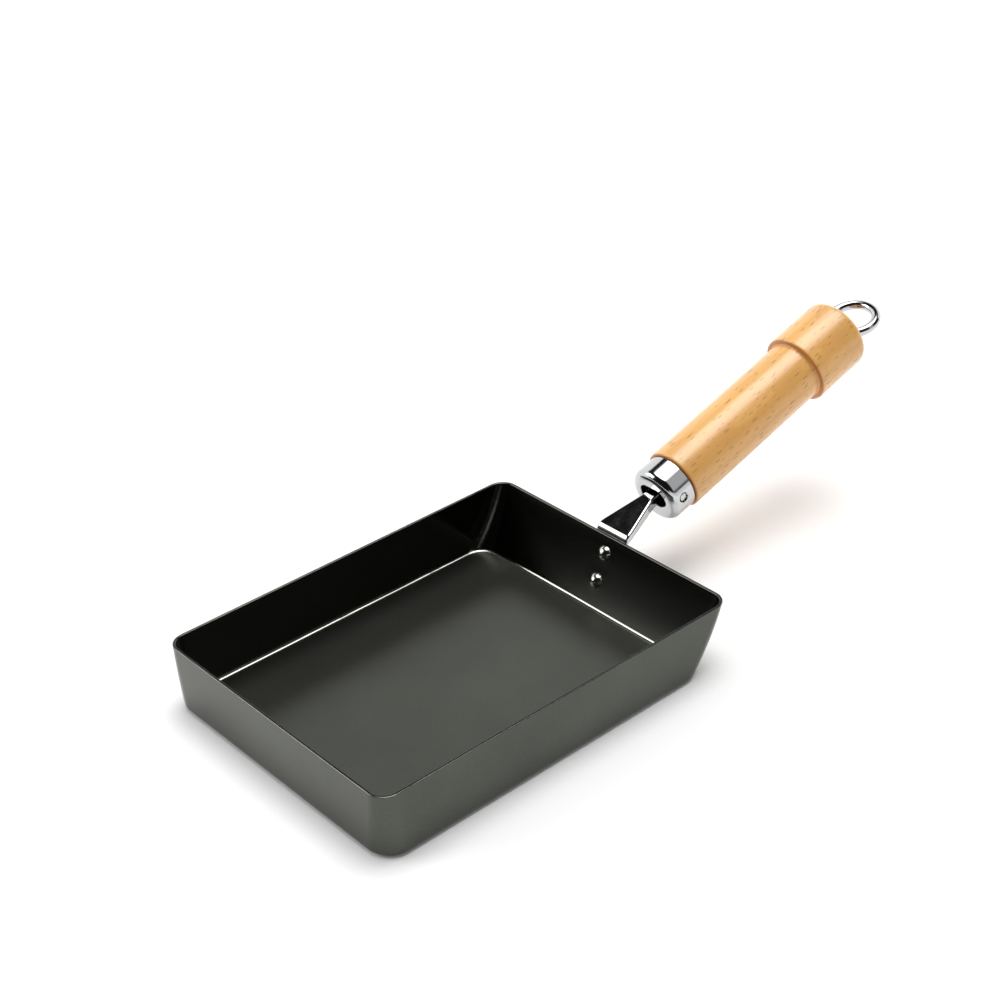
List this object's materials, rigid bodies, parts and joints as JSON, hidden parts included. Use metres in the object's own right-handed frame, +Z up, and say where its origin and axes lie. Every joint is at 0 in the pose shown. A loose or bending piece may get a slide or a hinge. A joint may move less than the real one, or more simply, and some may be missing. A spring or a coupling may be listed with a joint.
{
  "type": "tamagoyaki pan",
  "caption": "Rectangular rolled-omelette pan in dark treated iron, riveted chromed tang, turned and lacquered beech handle, swinging hanging ring",
  "frame": {"origin": "on the flat underside of the tray, below the middle of the rim", "axes": "+X from the tray to the handle, +Y across the tray, +Z up, square to the underside"},
  "size_m": [0.3436, 0.135, 0.0889],
  "materials": {
    "treated_iron": "nitrided and oxidised sheet, satin, dark grey",
    "rivet_steel": "bare steel, dulled",
    "plated_steel": "bright chrome plate",
    "lacquered_beech": "clear gloss lacquer"
  },
  "bodies": {
    "pan": {"pan_body": "treated_iron", "upper_rivet": "rivet_steel", "lower_rivet": "rivet_steel", "handle_tang": "plated_steel", "ferrule": "plated_steel", "cross_pin": "plated_steel", "handle_grip": "lacquered_beech", "screw_eye": "plated_steel"},
    "ring": {"hanging_ring": "plated_steel"}
  },
  "joints": [
    {"name": "ring_swing", "type": "hinge", "parent": "pan", "child": "ring", "pos_m": [0.2322, 0, 0.0741], "axis": [0, 1, 0], "range_deg": [-30.2, 25.8]}
  ]
}
